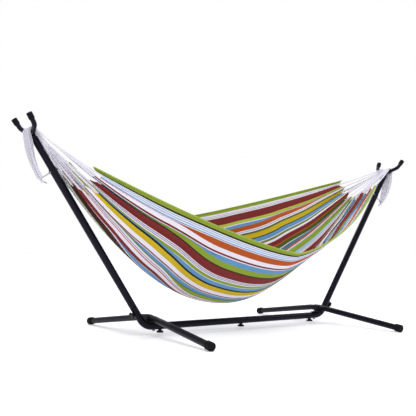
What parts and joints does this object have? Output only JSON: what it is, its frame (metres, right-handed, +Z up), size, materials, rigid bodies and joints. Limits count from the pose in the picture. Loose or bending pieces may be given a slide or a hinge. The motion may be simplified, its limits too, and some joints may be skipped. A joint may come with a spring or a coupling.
{
  "type": "hammock on stand",
  "caption": "Striped cloth hammock slung by strings between the forked arms of a low steel tube stand that rests on two bent foot bars.",
  "frame": {"origin": "centre of the bounding box in X and Y, on the floor", "axes": "+X along the stand to the end whose fork is farther off in the usual three-quarter view, +Y across the stand to its far side, +Z up"},
  "size_m": [2.856, 1.3222, 1.1502],
  "materials": {
    "frame_paint": "satin powder coat on steel tube",
    "cap_rubber": "moulded black caps",
    "knob_plastic": "moulded black plastic",
    "zinc_steel": "bright zinc plate",
    "string_cotton": "twisted off-white cotton string",
    "stripe_cloth": "woven cotton with lengthwise stripes in green, white, maroon, rust, blue, yellow and black"
  },
  "bodies": {
    "stand": {"base_tube_left": "frame_paint", "elbow_left": "frame_paint", "lower_arm_left": "frame_paint", "upper_arm_left": "frame_paint", "fork_left": "frame_paint", "foot_bar_left": "frame_paint", "prong_cap_left_near": "cap_rubber", "foot_cap_left_near": "cap_rubber", "prong_cap_left_far": "cap_rubber", "foot_cap_left_far": "cap_rubber", "saddle_left": "knob_plastic", "saddle_bolt_left": "zinc_steel", "saddle_nut_left": "zinc_steel", "tail_hook_left": "zinc_steel", "hook_nut_left": "zinc_steel", "hook_cap_nut_left": "zinc_steel", "tail_left": "string_cotton", "base_tube_right": "frame_paint", "elbow_right": "frame_paint", "lower_arm_right": "frame_paint", "upper_arm_right": "frame_paint", "fork_right": "frame_paint", "foot_bar_right": "frame_paint", "prong_cap_right_near": "cap_rubber", "foot_cap_right_near": "cap_rubber", "prong_cap_right_far": "cap_rubber", "foot_cap_right_far": "cap_rubber", "saddle_right": "knob_plastic", "saddle_bolt_right": "zinc_steel", "saddle_nut_right": "zinc_steel", "tail_hook_right": "zinc_steel", "hook_nut_right": "zinc_steel", "hook_cap_nut_right": "zinc_steel", "tail_right": "string_cotton"},
    "hammock": {"hammock_bed": "stripe_cloth", "clew_left": "string_cotton", "clew_right": "string_cotton"},
    "knob_base_left": {"knob_base_left": "knob_plastic", "knob_screw_base_left": "zinc_steel"},
    "knob_base_right": {"knob_base_right": "knob_plastic", "knob_screw_base_right": "zinc_steel"},
    "knob_arm_left": {"knob_arm_left": "knob_plastic", "knob_screw_arm_left": "zinc_steel"},
    "knob_arm_right": {"knob_arm_right": "knob_plastic", "knob_screw_arm_right": "zinc_steel"},
    "knob_middle": {"knob_middle": "knob_plastic", "knob_screw_middle": "zinc_steel"}
  },
  "joints": [
    {"name": "hammock_swing", "type": "hinge", "parent": "stand", "child": "hammock", "pos_m": [0, 0, 1.0734], "axis": [1, 0, 0], "range_deg": [-20, 20]},
    {"name": "knob_base_left_turn", "type": "hinge", "parent": "stand", "child": "knob_base_left", "pos_m": [-0.582, 0, 0.02], "axis": [0, 0, -1], "range_deg": [0, 720]},
    {"name": "knob_base_right_turn", "type": "hinge", "parent": "stand", "child": "knob_base_right", "pos_m": [0.582, 0, 0.02], "axis": [0, 0, -1], "range_deg": [0, 720]},
    {"name": "knob_arm_left_turn", "type": "hinge", "parent": "stand", "child": "knob_arm_left", "pos_m": [-0.76267, 0, 0.11627], "axis": [-0.83, 0, -0.5577], "range_deg": [0, 720]},
    {"name": "knob_arm_right_turn", "type": "hinge", "parent": "stand", "child": "knob_arm_right", "pos_m": [0.76267, 0, 0.11627], "axis": [0.83, 0, -0.5577], "range_deg": [0, 720]},
    {"name": "knob_middle_turn", "type": "hinge", "parent": "stand", "child": "knob_middle", "pos_m": [0, 0, 0.02], "axis": [0, 0, -1], "range_deg": [0, 720]}
  ]
}
